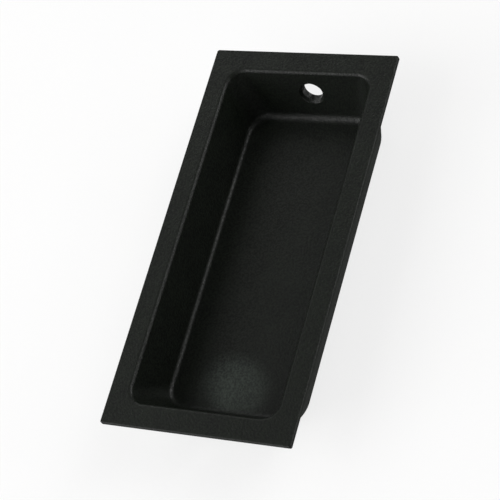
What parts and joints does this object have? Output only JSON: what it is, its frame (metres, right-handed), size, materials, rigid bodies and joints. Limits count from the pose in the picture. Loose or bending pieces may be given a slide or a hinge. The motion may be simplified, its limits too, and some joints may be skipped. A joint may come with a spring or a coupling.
{
  "type": "rectangular flush pull",
  "caption": "Rectangular flush pull for a sliding or pocket door: a thin flange around a deep coved finger recess, with a slanted countersunk screw hole in each end wall.",
  "frame": {"origin": "centre of the flange's underside, on the door's face, at the middle of the mortise", "axes": "+Z out of the door through the mouth of the recess, +Y up the pull's length, +X to the right seen from in front; the pan behind the flange lies at negative Z"},
  "size_m": [0.0444, 0.092, 0.0144],
  "materials": {
    "black_paint": "satin"
  },
  "bodies": {
    "root": {"flush_pull": "black_paint"}
  },
  "joints": []
}
